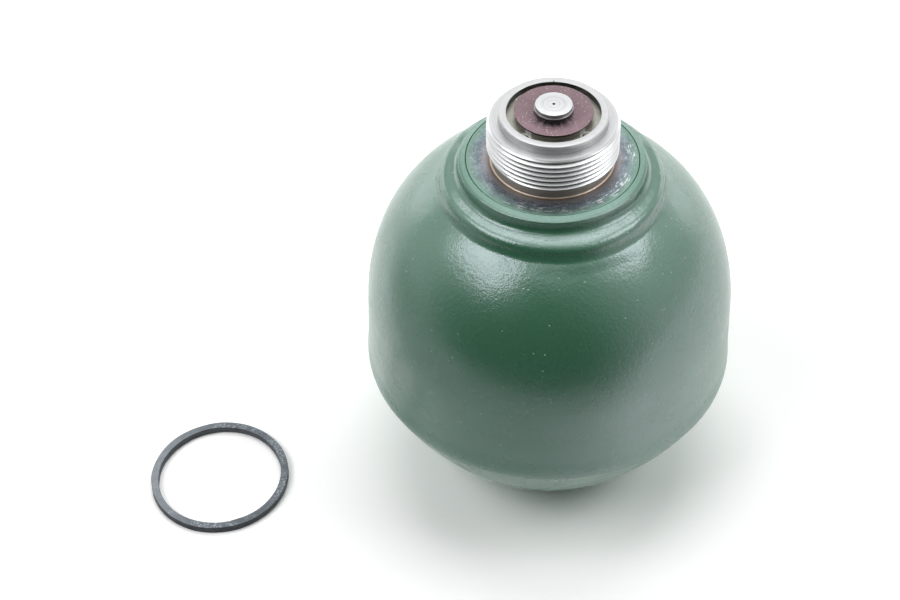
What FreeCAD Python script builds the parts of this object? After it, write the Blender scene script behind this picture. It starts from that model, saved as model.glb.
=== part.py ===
"""Suspension sphere: a welded steel pressure vessel with a threaded neck and a disc damper valve.

Millimetres. The origin is the centre of the base, on the surface that the sphere stands on.
+Z runs up the axis and out of the neck. Every piece but the filler plug's socket, the valve
body's ports and the loose seal ring is turned about that axis.
"""
import FreeCAD
import Part
import math
import os

# Pressure vessel, outside
body_diameter = 104.4
shell_wall = 3.8
skirt_edge_height = 36.4
skirt_edge_rounding = 1.0
flare_height = 2.1
flare_run = 3.8
flare_depth = 0.4
wall_draft = 2.3
wall_height = 16.36
upper_side_radius = 57.8
upper_blend_angle = 19.0
crown_radius = 44.7
lower_step = 0.2
lower_side_radius = 96.4
lower_entry_angle = 24.3
foot_width = 3.9

# Lap joint of the two shells
lap_height = 13.3
skirt_wall = 2.1
lap_gap = 0.05

# Stepped collar that carries the neck
collar_height = 9.1
lip_width = 1.95
lip_drop = 0.8
lip_edge_rounding = 0.3
upper_wall_taper = 0.3
ledge_drop = 4.2
ledge_width = 4.4
ledge_slope = 0.8
ledge_inner_rounding = 1.2
ledge_edge_rounding = 1.6
lower_wall_taper = 1.2
crease_rounding = 1.6

# Threaded neck
thread_diameter = 35.0
thread_length = 8.35
thread_chamfer = 0.85
undercut_depth = 1.3
undercut_height = 3.0
undercut_bevel = 0.7
undercut_rounding = 0.5
relief_margin = 0.2
relief_depth = 0.1
flange_diameter = 46.1
flange_thickness = 5.6
flange_edge_chamfer = 0.25
socket_gap = 0.1
spigot_diameter = 38.0
spigot_length = 1.8
pilot_diameter = 28.8
pilot_height = 2.5
pilot_chamfer = 0.3
bore_diameter = 24.7
bore_chamfer = 0.1
valve_rest_width = 0.95
port_flare = 1.6
port_mouth_depth = 6.8

# Damper valve
press_gap = 0.01
stack_discs = 3
disc_thickness = 0.3
disc_rise = 0.4
top_disc_overhang = 0.5
second_disc_overhang = 0.35
third_disc_overhang = 0.1
lower_disc_overhang = 0.25
lower_disc_step = 0.25
spacer_diameter = 10.3
spacer_thickness = 1.05
spacer_groove = 0.15
rivet_diameter = 5.0
rivet_head_diameter = 9.7
rivet_head_thickness = 1.05
rivet_edge_chamfer = 0.12
rivet_tail_diameter = 7.4
rivet_tail_height = 1.5
rivet_tail_edge = 0.5
rivet_tail_end_diameter = 3.7
rivet_gap = 0.05
bleed_hole_diameter = 0.7
body_height = 11.9
body_rim_height = 8.9
upper_moat_width = 2.5
lower_moat_width = 2.2
valve_seat_width = 1.0
valve_groove_depth = 1.2
clamp_land_diameter = 9.4
lower_moat_depth = 1.7
port_count = 4
passage_diameter = 1.8
passage_mouth_diameter = 2.3
passage_mouth_depth = 0.6
rebound_phase = 5.0

# Membrane and what holds it
membrane_thickness = 2.0
membrane_gap = 0.05
bead_thickness = 3.4
bead_height = 6.5
clamp_wall = 2.0
clamp_lip_thickness = 1.5
hook_clearance = 0.2
clamp_ledge_width = 1.6
clamp_ledge_rise = 2.0
ledge_root_turn = 4.0
cup_overlap = 2.0
cup_thickness = 1.5
cup_edge_rounding = 0.6
stud_diameter = 5.0
stud_length = 3.0
boss_diameter = 14.0
boss_thickness = 5.0
boss_edge_rounding = 1.0

# Filler plug in the base
recess_diameter = 15.0
recess_depth = 5.4
plug_thread_diameter = 8.0
plug_gap = 0.05
plug_head_setback = 0.4
plug_head_height = 3.4
plug_length = 10.5
plug_chamfer = 0.5
socket_across_flats = 4.0
socket_depth = 2.4
washer_play = 0.7
washer_thickness = 1.0
filler_boss_wall = 1.5
filler_boss_height = 12.0
filler_boss_rounding = 1.5

# Loose seal ring, lying on the surface beside the sphere
ring_play = 1.2
ring_section = 2.35
ring_edge_rounding = 0.2
ring_distance = 27.1
ring_bearing = 195.3

# Two places nearer than this are the same place
same_place = 1e-4

# Worked out: the skirt's flare and the drafted wall above it (radius, height)
body_radius = body_diameter / 2
wall_foot_radius = body_radius - flare_depth
inner_radius = wall_foot_radius - shell_wall
flare_top = (body_radius, skirt_edge_height + flare_height)
wall_foot = (wall_foot_radius, flare_top[1] + flare_run)
wall_lean = wall_height * math.tan(math.radians(wall_draft))
wall_top = (wall_foot_radius - wall_lean, wall_foot[1] + wall_height)
lap_top = skirt_edge_height + lap_height


def on_arc(centre, radius, angle):
    """Point (radius, height) of an arc about centre whose surface faces that many degrees up."""
    turn = math.radians(angle)
    return (centre[0] + radius * math.cos(turn), centre[1] + radius * math.sin(turn))


def centre_behind(place, radius, angle):
    """Centre of an arc that passes through place while facing that many degrees up."""
    turn = math.radians(angle)
    return (place[0] - radius * math.cos(turn), place[1] - radius * math.sin(turn))


def angle_at_radius(centre, radius, distance):
    """Degrees up at which an arc about centre lies that far from the axis."""
    return math.degrees(math.acos((distance - centre[0]) / radius))


def radius_onto_ground(centre, radius, foot_edge):
    """Radius of the arc that leaves the ground at foot_edge and runs into the arc about centre."""
    aside = foot_edge - centre[0]
    return (radius ** 2 - aside ** 2 - centre[1] ** 2) / (2 * (radius - centre[1]))


# Worked out: the vessel's arcs, each with a centre (radius, height)
side_centre = centre_behind(wall_top, upper_side_radius, wall_draft)
crown_start = on_arc(side_centre, upper_side_radius, upper_blend_angle)
crown_centre = centre_behind(crown_start, crown_radius, upper_blend_angle)
lower_start = (body_radius - lower_step, skirt_edge_height)
lower_side_centre = centre_behind(lower_start, lower_side_radius, -lower_entry_angle)
foot_edge = recess_diameter / 2 + foot_width
bottom_radius = radius_onto_ground(lower_side_centre, lower_side_radius, foot_edge)
bottom_centre = (foot_edge, bottom_radius)
lower_blend_drop = lower_side_centre[1] - bottom_radius
lower_blend_angle = math.degrees(math.atan2(lower_blend_drop, foot_edge - lower_side_centre[0]))

# Worked out: the collar's outline, place by place outwards and down (radius, height)
socket_radius = flange_diameter / 2 + socket_gap
ledge_edge_radius = socket_radius + lip_width + upper_wall_taper + ledge_width
crease_radius = ledge_edge_radius + lower_wall_taper
crease_angle = angle_at_radius(crown_centre, crown_radius, crease_radius)
crease = on_arc(crown_centre, crown_radius, crease_angle)
flange_face = crease[1] + collar_height
lip_inner = (socket_radius, flange_face)
lip_outer = (socket_radius + lip_width, flange_face - lip_drop)
ledge_inner = (lip_outer[0] + upper_wall_taper, flange_face - ledge_drop)
ledge_outer = (ledge_edge_radius, ledge_inner[1] - ledge_slope)

# Worked out: heights up the neck, and the bores in it
flange_back = flange_face - flange_thickness
neck_bottom = flange_back - spigot_length
thread_start = flange_face + undercut_height + undercut_bevel
thread_end = thread_start + thread_length
shoulder_height = thread_end + thread_chamfer
neck_top = shoulder_height + pilot_height
bore_radius = bore_diameter / 2
port_radius = bore_radius - valve_rest_width
port_mouth_radius = port_radius + port_flare

# Worked out: heights up the damper valve
stack_thickness = stack_discs * disc_thickness
upper_seat_height = neck_top + disc_rise - stack_thickness
lower_seat_height = upper_seat_height - body_height
body_rest_height = lower_seat_height + lower_moat_depth
body_rim_top = body_rest_height + body_rim_height
rivet_head_seat = neck_top + disc_rise + spacer_thickness
rivet_tail_seat = lower_seat_height - stack_thickness - spacer_thickness
shaft_hole_radius = rivet_diameter / 2 + rivet_gap
upper_hub = bore_radius - upper_moat_width
lower_hub = port_radius - lower_moat_width

# Worked out: heights round the membrane
clamp_ledge_height = skirt_edge_height + clamp_ledge_rise
bead_bottom = clamp_ledge_height + clamp_lip_thickness
bead_top = bead_bottom + bead_height
bead_inner_radius = inner_radius - membrane_gap - bead_thickness
membrane_top = neck_bottom - cup_thickness

# Worked out: sizes in the base
plug_seat = recess_depth - washer_thickness
washer_diameter = recess_diameter - 2 * washer_play
plug_head_diameter = washer_diameter - 2 * plug_head_setback
filler_boss_radius = recess_diameter / 2 + filler_boss_wall


def spot(place):
    """Place (radius, height) as a point of the plane that the outlines are drawn in."""
    return FreeCAD.Vector(place[0], 0, place[1])


class Outline:
    """Half section beside the axis, drawn from place to place and turned into a solid."""

    def __init__(self, *start):
        self.first = start
        self.here = start
        self.edges = []

    def line(self, *places):
        """Straight runs to each place (radius, height) in turn."""
        for place in places:
            self.edges.append(Part.makeLine(spot(self.here), spot(place)))
            self.here = place
        return self

    def arc(self, centre, radius, angle_from, angle_to):
        """Line to the arc's start, unless the outline is there, then the arc itself."""
        start = on_arc(centre, radius, angle_from)
        middle = on_arc(centre, radius, (angle_from + angle_to) / 2)
        end = on_arc(centre, radius, angle_to)
        if spot(start).distanceToPoint(spot(self.here)) > same_place:
            self.line(start)
        curve = Part.Arc(spot(self.here), spot(middle), spot(end))
        self.edges.append(curve.toShape())
        self.here = end
        return self

    def turned(self):
        """Solid of revolution of the closed outline about the Z axis."""
        self.line(self.first)
        face = Part.Face(Part.Wire(self.edges))
        return face.revolve(spot((0, 0)), spot((0, 1)), 360)


def rounded(solid, radius, *places):
    """Round the circular edges that pass through the places (radius, height)."""
    picked = []
    for edge in solid.Edges:
        if not isinstance(edge.Curve, Part.Circle):
            continue
        ring = edge.Curve
        for place in places:
            if spot((ring.Radius, ring.Center.z)).distanceToPoint(spot(place)) < same_place:
                picked.append(edge)
    return solid.makeFillet(radius, picked)


def cylinder(diameter, height, bottom):
    """Upright round bar on the axis."""
    return Part.makeCylinder(diameter / 2, height, FreeCAD.Vector(0, 0, bottom))


def washer(outer_diameter, hole_radius, thickness, bottom):
    """Flat ring on the axis."""
    hole = cylinder(2 * hole_radius, thickness, bottom)
    return cylinder(outer_diameter, thickness, bottom).cut(hole)


def upper_shell():
    """Dome with the collar's lip, ledge and socket above and the lap joint's skirt below."""
    lap_radius = body_radius - skirt_wall
    inner_crown_radius = crown_radius - shell_wall
    hole_radius = spigot_diameter / 2 + lap_gap
    hole_angle = angle_at_radius(crown_centre, inner_crown_radius, hole_radius)

    outline = Outline(*lip_inner)
    outline.line(lip_outer, ledge_inner, ledge_outer)
    outline.arc(crown_centre, crown_radius, crease_angle, upper_blend_angle)
    outline.arc(side_centre, upper_side_radius, upper_blend_angle, wall_draft)
    outline.line(wall_foot, flare_top, (body_radius, skirt_edge_height))
    outline.line((lap_radius, skirt_edge_height), (lap_radius, lap_top), (inner_radius, lap_top))
    outline.arc(side_centre, upper_side_radius - shell_wall, wall_draft, upper_blend_angle)
    outline.arc(crown_centre, inner_crown_radius, upper_blend_angle, hole_angle)
    outline.line((hole_radius, flange_back), (socket_radius, flange_back))
    shell = outline.turned()
    shell = rounded(shell, crease_rounding, crease)
    shell = rounded(shell, ledge_edge_rounding, ledge_outer)
    shell = rounded(shell, ledge_inner_rounding, ledge_inner)
    shell = rounded(shell, lip_edge_rounding, lip_outer)
    return rounded(shell, skirt_edge_rounding, (body_radius, skirt_edge_height))


def lower_shell():
    """Bowl with the lap joint's rim, the ledge of the clamp ring and the filler boss."""
    rim_radius = body_radius - skirt_wall - lap_gap
    thread_hole = plug_thread_diameter / 2 + plug_gap
    inner_side_radius = lower_side_radius - shell_wall
    inner_bottom_radius = bottom_radius - shell_wall
    clamp_ledge_inner = inner_radius - clamp_ledge_width
    ledge_root_angle = lower_entry_angle + ledge_root_turn

    outline = Outline(rim_radius, lap_top)
    outline.line((rim_radius, skirt_edge_height), lower_start)
    outline.arc(lower_side_centre, lower_side_radius, -lower_entry_angle, -lower_blend_angle)
    outline.arc(bottom_centre, bottom_radius, -lower_blend_angle, -90)
    outline.line((recess_diameter / 2, 0), (recess_diameter / 2, recess_depth))
    outline.line((thread_hole, recess_depth), (thread_hole, filler_boss_height))
    outline.line((filler_boss_radius, filler_boss_height), (filler_boss_radius, shell_wall))
    outline.arc(bottom_centre, inner_bottom_radius, -90, -lower_blend_angle)
    outline.arc(lower_side_centre, inner_side_radius, -lower_blend_angle, -ledge_root_angle)
    outline.line((clamp_ledge_inner, clamp_ledge_height), (inner_radius, clamp_ledge_height))
    outline.line((inner_radius, lap_top))
    shell = outline.turned()
    return rounded(shell, filler_boss_rounding, (filler_boss_radius, shell_wall))


def threaded_neck():
    """Turned neck: flange in the collar's socket, undercut, thread, pilot and valve bore."""
    flange_radius = flange_diameter / 2
    thread_radius = thread_diameter / 2
    undercut_radius = thread_radius - undercut_depth
    relief_radius = thread_radius + relief_margin
    pilot_radius = pilot_diameter / 2
    relief_floor = flange_face - relief_depth
    undercut_foot = (undercut_radius, relief_floor)

    outline = Outline(spigot_diameter / 2, neck_bottom)
    outline.line((spigot_diameter / 2, flange_back), (flange_radius, flange_back))
    outline.line((flange_radius, flange_face - flange_edge_chamfer))
    outline.line((flange_radius - flange_edge_chamfer, flange_face), (relief_radius, flange_face))
    outline.line((relief_radius, relief_floor), undercut_foot)
    outline.line((undercut_radius, flange_face + undercut_height))
    outline.line((thread_radius, thread_start), (thread_radius, thread_end))
    outline.line((thread_radius - thread_chamfer, shoulder_height), (pilot_radius, shoulder_height))
    outline.line((pilot_radius, neck_top - pilot_chamfer), (pilot_radius - pilot_chamfer, neck_top))
    outline.line((bore_radius + bore_chamfer, neck_top), (bore_radius, neck_top - bore_chamfer))
    outline.line((bore_radius, body_rest_height), (port_radius, body_rest_height))
    outline.line((port_radius, neck_bottom + port_mouth_depth))
    outline.line((port_mouth_radius, neck_bottom))
    return rounded(outline.turned(), undercut_rounding, undercut_foot)


def all_round(tool, phase):
    """Copies of a cutting tool at even turns about the axis, the first one turned by phase."""
    copies = []
    for index in range(port_count):
        copy = tool.copy()
        copy.rotate(spot((0, 0)), spot((0, 1)), phase + 360 * index / port_count)
        copies.append(copy)
    return Part.makeCompound(copies)


def passages(groove_mouth, moat_mouth, phase):
    """Ring of slanting bores through the valve body, each between two mouths (radius, height)."""
    radius = passage_diameter / 2
    run = spot(moat_mouth) - spot(groove_mouth)
    start = spot(groove_mouth) - run * (radius / run.Length)
    return all_round(Part.makeCylinder(radius, run.Length + 2 * radius, start, run), phase)


def countersinks(mouth, phase):
    """Ring of upright countersinks where the bores come out at the mouths (radius, height)."""
    mouth_radius = passage_mouth_diameter / 2
    bottom = spot(mouth) - spot((0, passage_mouth_depth))
    cone = Part.makeCone(passage_diameter / 2, mouth_radius, passage_mouth_depth, bottom)
    return all_round(cone, phase)


def damper_body():
    """Valve body: a seat and a groove on each face, joined by two rings of slanting passages."""
    rim_radius = bore_radius - press_gap
    land_radius = clamp_land_diameter / 2
    upper_floor = upper_seat_height - valve_groove_depth
    lower_floor = lower_seat_height + valve_groove_depth
    moat_roof = body_rest_height + lower_moat_depth

    outline = Outline(rim_radius, body_rest_height)
    outline.line((rim_radius, body_rim_top), (upper_hub, body_rim_top))
    outline.line((upper_hub, upper_seat_height), (upper_hub - valve_seat_width, upper_seat_height))
    outline.line((upper_hub - valve_seat_width, upper_floor), (land_radius, upper_floor))
    outline.line((land_radius, upper_seat_height), (shaft_hole_radius, upper_seat_height))
    outline.line((shaft_hole_radius, lower_seat_height), (land_radius, lower_seat_height))
    outline.line((land_radius, lower_floor), (lower_hub - valve_seat_width, lower_floor))
    outline.line((lower_hub - valve_seat_width, lower_seat_height), (lower_hub, lower_seat_height))
    outline.line((lower_hub, moat_roof), (port_radius, moat_roof))
    outline.line((port_radius, body_rest_height))
    body = outline.turned()

    upper_groove = ((upper_hub - valve_seat_width + land_radius) / 2, upper_floor)
    lower_groove = ((lower_hub - valve_seat_width + land_radius) / 2, lower_floor)
    upper_moat = ((upper_hub + rim_radius) / 2, body_rim_top)
    lower_moat = ((lower_hub + port_radius) / 2, moat_roof)
    compression_phase = rebound_phase + 180 / port_count
    body = body.cut(passages(upper_groove, lower_moat, rebound_phase))
    body = body.cut(passages(lower_groove, upper_moat, compression_phase))
    return body.cut(countersinks(upper_moat, compression_phase))


def upper_disc(overhang, place):
    """Disc of the upper stack, place 0 lying on the valve seat, whose edge it passes by overhang."""
    bottom = upper_seat_height + place * disc_thickness
    return washer(2 * (upper_hub + overhang), shaft_hole_radius, disc_thickness, bottom)


def lower_disc(place):
    """Disc of the lower stack, place 0 lying on the valve seat and each next one smaller."""
    radius = lower_hub + lower_disc_overhang - place * lower_disc_step
    bottom = lower_seat_height - (place + 1) * disc_thickness
    return washer(2 * radius, shaft_hole_radius, disc_thickness, bottom)


def spacer(bottom):
    """Stop ring with a fine groove round its middle."""
    ring = washer(spacer_diameter, shaft_hole_radius, spacer_thickness, bottom)
    groove_bottom = bottom + (spacer_thickness - spacer_groove) / 2
    groove_radius = spacer_diameter / 2 - spacer_groove
    cutter_diameter = spacer_diameter + spacer_groove
    return ring.cut(washer(cutter_diameter, groove_radius, spacer_groove, groove_bottom))


def damper_rivet():
    """Rivet with a flat turned head, a peened tail and a fine bleed hole down its middle."""
    head_radius = rivet_head_diameter / 2
    shaft_radius = rivet_diameter / 2
    tail_radius = rivet_tail_diameter / 2
    head_top = rivet_head_seat + rivet_head_thickness
    tail_bottom = rivet_tail_seat - rivet_tail_height
    bleed_radius = bleed_hole_diameter / 2

    outline = Outline(bleed_radius, head_top)
    outline.line((head_radius - rivet_edge_chamfer, head_top))
    outline.line((head_radius, head_top - rivet_edge_chamfer), (head_radius, rivet_head_seat))
    outline.line((shaft_radius, rivet_head_seat), (shaft_radius, rivet_tail_seat))
    outline.line((tail_radius, rivet_tail_seat), (tail_radius, rivet_tail_seat - rivet_tail_edge))
    outline.line((rivet_tail_end_diameter / 2, tail_bottom), (bleed_radius, tail_bottom))
    return outline.turned()


def diaphragm():
    """Membrane that lines the upper shell: bead in the clamp ring, boss for the cup's stud."""
    outer_radius = inner_radius - membrane_gap
    under_radius = outer_radius - membrane_thickness
    outer_side = upper_side_radius - shell_wall - membrane_gap
    outer_crown = crown_radius - shell_wall - membrane_gap
    under_top = membrane_top - membrane_thickness
    outer_end = math.degrees(math.asin((membrane_top - crown_centre[1]) / outer_crown))
    under_crown = outer_crown - membrane_thickness
    under_end = math.degrees(math.asin((under_top - crown_centre[1]) / under_crown))
    stud_hole = stud_diameter / 2 + membrane_gap
    stud_end = membrane_top - stud_length
    boss_bottom = membrane_top - boss_thickness
    boss_radius = boss_diameter / 2

    outline = Outline(bead_inner_radius, bead_bottom)
    outline.line((outer_radius, bead_bottom), (outer_radius, lap_top))
    outline.arc(side_centre, outer_side, wall_draft, upper_blend_angle)
    outline.arc(crown_centre, outer_crown, upper_blend_angle, outer_end)
    outline.line((stud_hole, membrane_top), (stud_hole, stud_end), (0, stud_end))
    outline.line((0, boss_bottom), (boss_radius, boss_bottom), (boss_radius, under_top))
    outline.arc(crown_centre, under_crown, under_end, upper_blend_angle)
    outline.arc(side_centre, outer_side - membrane_thickness, upper_blend_angle, wall_draft)
    outline.line((under_radius, bead_top), (bead_inner_radius, bead_top))
    membrane = outline.turned()
    return rounded(membrane, boss_edge_rounding, (boss_radius, boss_bottom))


def diaphragm_cup():
    """Plate that closes the neck's port when the membrane is pressed up, with its stud."""
    cup_radius = port_mouth_radius + cup_overlap
    stud_radius = stud_diameter / 2
    outline = Outline(0, neck_bottom)
    outline.line((cup_radius, neck_bottom), (cup_radius, membrane_top))
    outline.line((stud_radius, membrane_top), (stud_radius, membrane_top - stud_length))
    outline.line((0, membrane_top - stud_length))
    return rounded(outline.turned(), cup_edge_rounding, (cup_radius, neck_bottom))


def clamp_ring():
    """Channel ring that grips the membrane's bead and stands on the lower shell's ledge."""
    outer_radius = inner_radius - membrane_gap
    wall_outer = bead_inner_radius
    wall_inner = wall_outer - clamp_wall
    hook_end = outer_radius - membrane_thickness - hook_clearance
    hook_top = bead_top + clamp_lip_thickness
    outline = Outline(wall_inner, clamp_ledge_height)
    outline.line((outer_radius, clamp_ledge_height), (outer_radius, bead_bottom))
    outline.line((wall_outer, bead_bottom), (wall_outer, bead_top))
    outline.line((hook_end, bead_top), (hook_end, hook_top))
    outline.line((wall_inner, hook_top))
    return outline.turned()


def filler_plug():
    """Gas filler screw with a hexagon socket that opens downwards."""
    head_radius = plug_head_diameter / 2
    shank_radius = plug_thread_diameter / 2
    head_bottom = plug_seat - plug_head_height
    plug_end = head_bottom + plug_length
    outline = Outline(0, head_bottom)
    outline.line((head_radius - plug_chamfer, head_bottom), (head_radius, head_bottom + plug_chamfer))
    outline.line((head_radius, plug_seat), (shank_radius, plug_seat))
    outline.line((shank_radius, plug_end - plug_chamfer), (shank_radius - plug_chamfer, plug_end))
    outline.line((0, plug_end))
    corner_radius = socket_across_flats / math.sqrt(3)
    corners = []
    for index in range(7):
        turn = math.radians(60 * index)
        across = FreeCAD.Vector(math.cos(turn), math.sin(turn), 0) * corner_radius
        corners.append(across + FreeCAD.Vector(0, 0, head_bottom))
    hexagon = Part.Face(Part.makePolygon(corners))
    return outline.turned().cut(hexagon.extrude(FreeCAD.Vector(0, 0, socket_depth)))


def filler_seal():
    """Soft washer under the filler plug's head."""
    return washer(washer_diameter, plug_thread_diameter / 2 + plug_gap, washer_thickness, plug_seat)


def seal_ring():
    """Square-section ring that slips over the thread onto the flange, here laid beside the sphere."""
    hole_radius = (thread_diameter + ring_play) / 2
    outer_radius = hole_radius + ring_section
    ring = washer(2 * outer_radius, hole_radius, ring_section, 0)
    corners = []
    for distance in (hole_radius, outer_radius):
        for height in (0, ring_section):
            corners.append((distance, height))
    ring = rounded(ring, ring_edge_rounding, *corners)
    turn = math.radians(ring_bearing)
    reach = body_radius + ring_distance + outer_radius
    ring.translate(FreeCAD.Vector(math.cos(turn), math.sin(turn), 0) * reach)
    return ring


def all_pieces():
    """Every piece with the name of its node."""
    return {
        "upper_shell": upper_shell(),
        "lower_shell": lower_shell(),
        "threaded_neck": threaded_neck(),
        "damper_body": damper_body(),
        "top_disc": upper_disc(top_disc_overhang, stack_discs - 1),
        "second_disc": upper_disc(second_disc_overhang, stack_discs - 2),
        "third_disc": upper_disc(third_disc_overhang, stack_discs - 3),
        "upper_spacer": spacer(neck_top + disc_rise),
        "lower_first_disc": lower_disc(0),
        "lower_second_disc": lower_disc(1),
        "lower_third_disc": lower_disc(2),
        "lower_spacer": spacer(rivet_tail_seat),
        "damper_rivet": damper_rivet(),
        "diaphragm": diaphragm(),
        "diaphragm_cup": diaphragm_cup(),
        "clamp_ring": clamp_ring(),
        "filler_plug": filler_plug(),
        "filler_seal": filler_seal(),
        "seal_ring": seal_ring(),
    }


def main():
    """Write one STEP file for each piece."""
    os.makedirs("parts", exist_ok=True)
    for name, piece in all_pieces().items():
        piece.exportStep("parts/" + name + ".step")
        print(name, "solids", len(piece.Solids), "volume", round(piece.Volume, 1), "valid", piece.isValid())


main()
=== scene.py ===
"""Looks of a suspension sphere that stands upright with its seal ring beside it.

Sizes are millimetres, as on the bench, and become metres where a mesh is drawn. The origin is the
centre of the base on the surface that the sphere stands on, +Z runs up the neck, and the camera
looks from -Y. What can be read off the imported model, such as heights and diameters, is read there.
"""

import logging
import math
from dataclasses import dataclass, field
from enum import Enum
from typing import Iterable, Sequence

import bmesh
import bpy
from mathutils import Matrix, Vector, noise


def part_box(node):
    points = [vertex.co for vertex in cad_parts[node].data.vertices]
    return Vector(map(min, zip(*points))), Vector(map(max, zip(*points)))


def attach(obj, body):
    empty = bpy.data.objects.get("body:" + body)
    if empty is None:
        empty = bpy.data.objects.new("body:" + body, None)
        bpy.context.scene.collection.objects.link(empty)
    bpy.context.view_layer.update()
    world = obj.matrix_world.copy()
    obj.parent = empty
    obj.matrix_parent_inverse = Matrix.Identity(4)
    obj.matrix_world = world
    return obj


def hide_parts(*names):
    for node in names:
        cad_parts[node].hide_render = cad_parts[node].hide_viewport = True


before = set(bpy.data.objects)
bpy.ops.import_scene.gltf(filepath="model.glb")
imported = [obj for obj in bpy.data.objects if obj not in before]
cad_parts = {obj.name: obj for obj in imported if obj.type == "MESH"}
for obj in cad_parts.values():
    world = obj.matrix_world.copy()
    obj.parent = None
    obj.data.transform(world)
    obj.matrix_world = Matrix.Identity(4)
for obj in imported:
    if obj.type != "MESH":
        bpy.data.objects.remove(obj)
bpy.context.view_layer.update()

MM = 0.001
FULL_TURN = 2 * math.pi
BODY = "root"
MERGE_DISTANCE = 1.5e-6
SHARP_ANGLE = math.radians(32)

Place = tuple[float, float]
Colour = tuple[float, float, float]
Stop = tuple[float, Colour]
Socket = bpy.types.NodeSocket

log = logging.getLogger("suspension_sphere")


class Slot(Enum):
    """Material slots of the part's record."""

    GREEN_PAINT = "green_paint"
    TURNED_STEEL = "turned_steel"
    VALVE_BODY = "valve_body_steel"
    TEMPERED_STEEL = "tempered_steel"
    SPRING_STEEL = "dark_spring_steel"
    MEMBRANE_RUBBER = "membrane_rubber"
    SEAL_RUBBER = "seal_rubber"
    ZINC_STEEL = "zinc_steel"
    COPPER = "copper"


def reach(node: str) -> tuple[float, float, float]:
    """Lowest height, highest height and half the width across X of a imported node, in millimetres."""
    low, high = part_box(node)
    return low.z / MM, high.z / MM, (high.x - low.x) / 2 / MM


def on_arc(centre: Place, radius: float, degrees: float) -> Place:
    """Place on an arc about centre whose surface faces that many degrees up."""
    turn = math.radians(degrees)
    return centre[0] + radius * math.cos(turn), centre[1] + radius * math.sin(turn)


def spot(place: Place) -> Vector:
    """Point of the plane that the outlines are drawn in, from a place (radius, height)."""
    return Vector((place[0] * MM, 0.0, place[1] * MM))


class Outline:
    """Half section beside the axis, drawn from place to place and turned into a closed mesh."""

    def __init__(self, start: Place) -> None:
        """Start the outline.

        Args:
            start: First place, as (radius, height).
        """
        self.mesh = bmesh.new()
        self.first = bmesh.ops.create_vert(self.mesh, co=spot(start))["vert"][0]
        self.last = self.first
        self.corners: list[tuple[bmesh.types.BMVert, float]] = []

    def line(self, *places: Place) -> "Outline":
        """Straight runs to each place in turn."""
        for place in places:
            self.last = bmesh.ops.extrude_vert_indiv(self.mesh, verts=[self.last])["verts"][0]
            self.last.co = spot(place)
        return self

    def corner(self, place: Place, radius: float) -> "Outline":
        """Straight run to a place whose corner is rounded to that radius later."""
        self.line(place)
        self.corners.append((self.last, radius))
        return self

    def arc(self, centre: Place, degrees: float, steps: int) -> "Outline":
        """Arc from the last place about centre.

        Args:
            centre: The arc's centre.
            degrees: How far it turns, positive from the axis's right towards the top.
            steps: Number of straight steps that stand for it.

        Returns:
            The outline, to draw on.
        """
        turned = bmesh.ops.spin(
            self.mesh, geom=[self.last], cent=spot(centre), axis=(0, -1, 0), dvec=(0, 0, 0),
            angle=math.radians(degrees), steps=steps, use_merge=False)
        self.last = turned["geom_last"][0]
        return self

    def _round_corners(self) -> None:
        """Bevel each marked corner by as much as its radius needs."""
        for vert, radius in self.corners:
            beside = [edge.other_vert(vert).co - vert.co for edge in vert.link_edges]
            half_angle = beside[0].angle(beside[1]) / 2
            bmesh.ops.bevel(
                self.mesh, geom=[vert], offset=radius * MM / math.tan(half_angle), offset_type="OFFSET",
                segments=6, profile=0.5, affect="VERTICES", material=-1)

    def _refine(self, longest: float) -> None:
        """Divide the straight runs that are longer than that."""
        for edge in list(self.mesh.edges):
            cuts = math.ceil(edge.calc_length() / (longest * MM)) - 1
            if cuts > 0:
                bmesh.ops.subdivide_edges(self.mesh, edges=[edge], cuts=cuts)

    def turned(self, segments: int, longest: float = 0.0, closed: bool = True) -> bmesh.types.BMesh:
        """Turn the outline about the axis.

        Args:
            segments: Number of steps round the axis.
            longest: Longest straight run along the outline, or 0 to leave them as drawn.
            closed: Whether the outline is closed with a run from its last place to its first.

        Returns:
            The mesh, its doubles merged and its faces pointing outwards where it is closed.
        """
        if closed:
            self.mesh.edges.new((self.last, self.first))
        self._round_corners()
        if longest:
            self._refine(longest)
        bmesh.ops.spin(
            self.mesh, geom=self.mesh.verts[:] + self.mesh.edges[:], cent=(0, 0, 0), axis=(0, 0, 1),
            dvec=(0, 0, 0), angle=FULL_TURN, steps=segments, use_merge=True)
        bmesh.ops.remove_doubles(self.mesh, verts=self.mesh.verts[:], dist=MERGE_DISTANCE)
        bmesh.ops.recalc_face_normals(self.mesh, faces=self.mesh.faces[:])
        return self.mesh


def waves(point: Vector, wavelength: float, seed: float) -> float:
    """Smooth irregularity from -1 to 1 at a point, with that wavelength in millimetres."""
    return noise.noise(point / (wavelength * MM) + Vector((seed, 1.7 * seed, -0.6 * seed)))


def ramp_between(value: float, low: float, high: float) -> float:
    """Smooth rise from 0 at low to 1 at high."""
    share = min(max((value - low) / (high - low), 0.0), 1.0)
    return share * share * (3 - 2 * share)


def from_axis(point: Vector) -> Vector:
    """Way from the axis to a point, at height 0."""
    return Vector((point.x, point.y, 0))


def shown(name: str, data: bpy.types.ID) -> bpy.types.Object:
    """New object of that data, put in the scene."""
    made = bpy.data.objects.new(name, data)
    bpy.context.scene.collection.objects.link(made)
    return made


def solid(name: str, mesh: bmesh.types.BMesh) -> bpy.types.Object:
    """New object of a mesh, which is used up."""
    data = bpy.data.meshes.new(name)
    mesh.to_mesh(data)
    mesh.free()
    return shown(name, data)


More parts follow.
